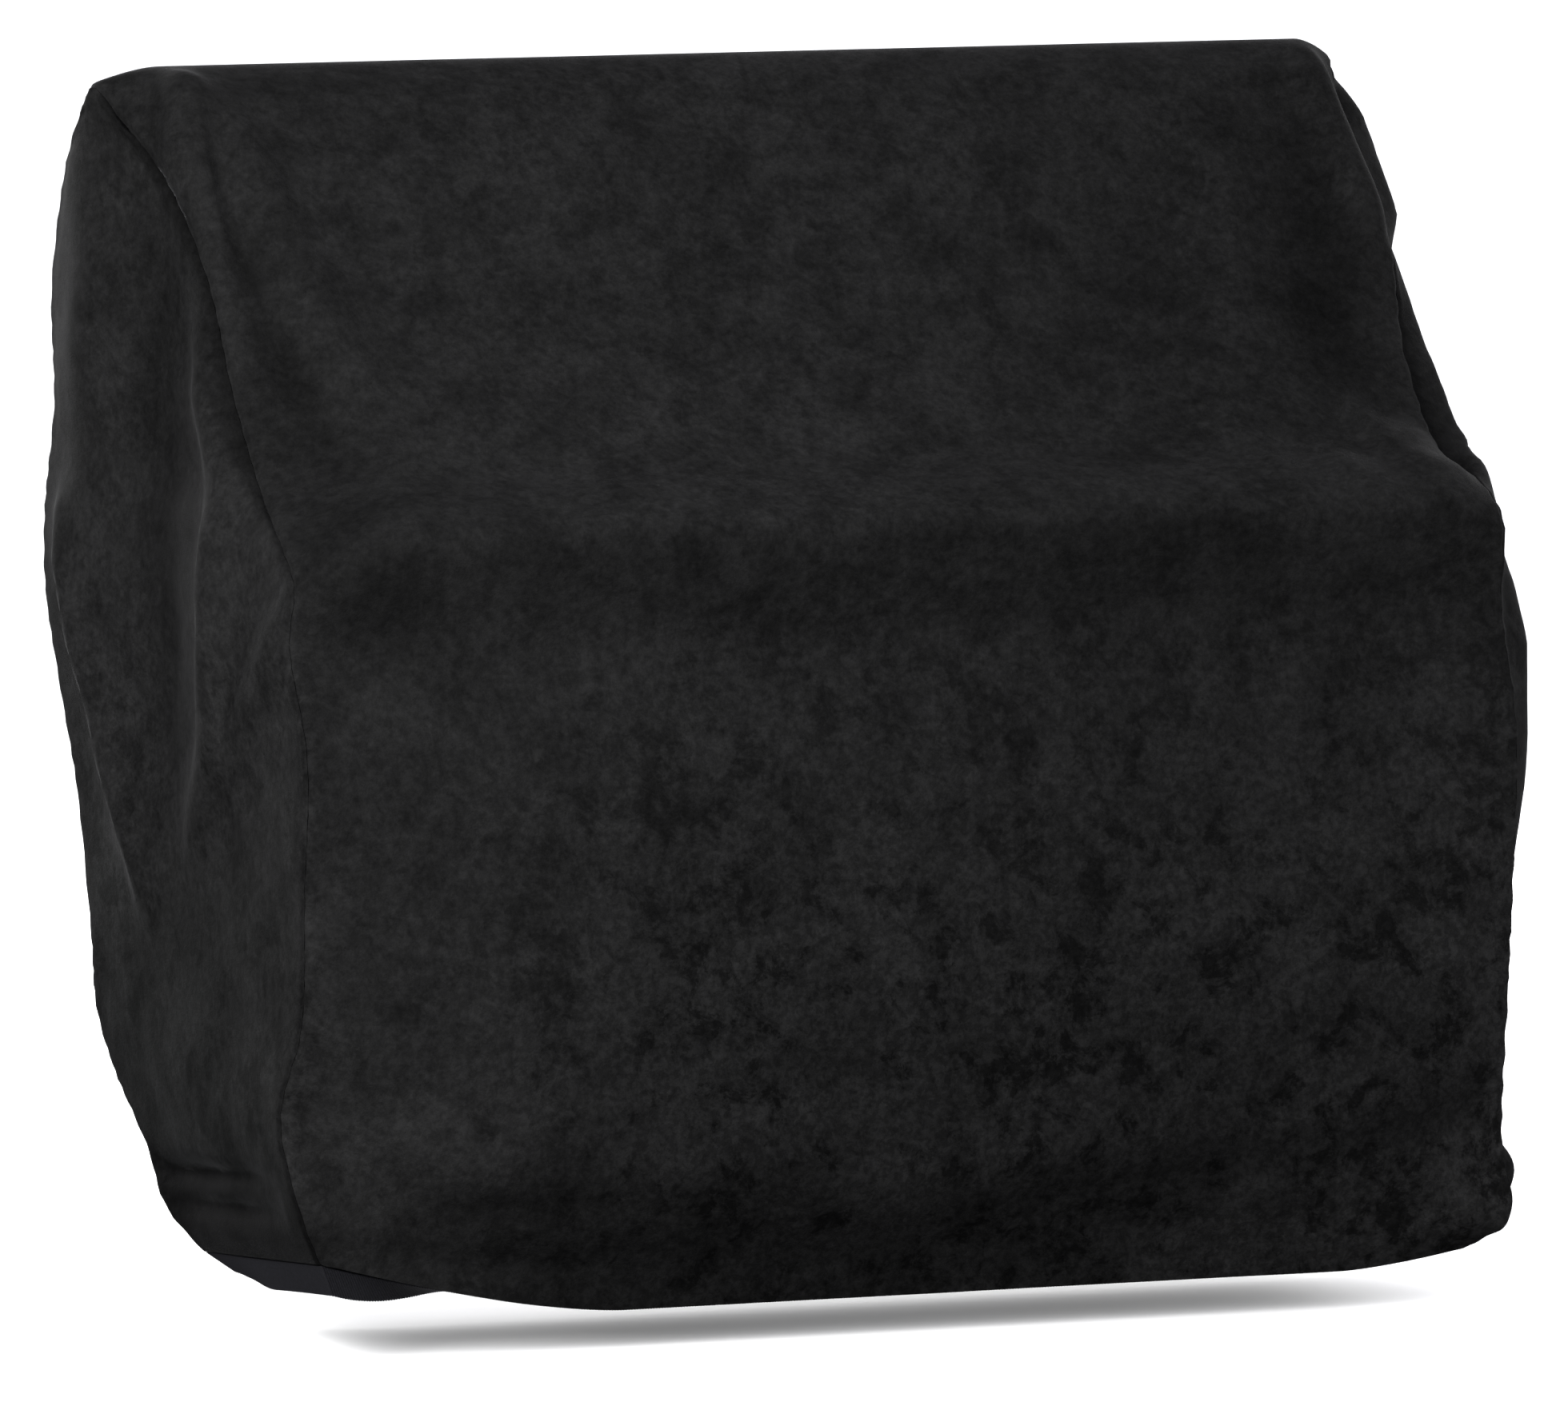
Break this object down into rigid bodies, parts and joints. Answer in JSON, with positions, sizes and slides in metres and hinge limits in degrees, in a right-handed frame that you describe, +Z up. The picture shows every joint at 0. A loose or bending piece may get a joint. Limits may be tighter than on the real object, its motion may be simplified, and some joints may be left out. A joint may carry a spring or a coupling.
{
  "type": "accordion cover",
  "caption": "Fitted black velour dust cover, hollow and open below, with a stepped front, side panels and an elastic hem, hanging in soft uneven folds.",
  "frame": {"origin": "under the middle of the top ridge, on the inner face of the cloth, where the cover hangs on what it covers", "axes": "+X to the right seen from the front, +Y to the back, +Z up"},
  "size_m": [0.5366, 0.269, 0.4608],
  "materials": {
    "velour": "near-black velour with a mottled, crushed nap",
    "elastic": "bluish-black ribbed elastic webbing"
  },
  "bodies": {
    "root": {"main_panel": "velour", "side_panel_left": "velour", "side_panel_right": "velour", "hem_elastic": "elastic"}
  },
  "joints": []
}
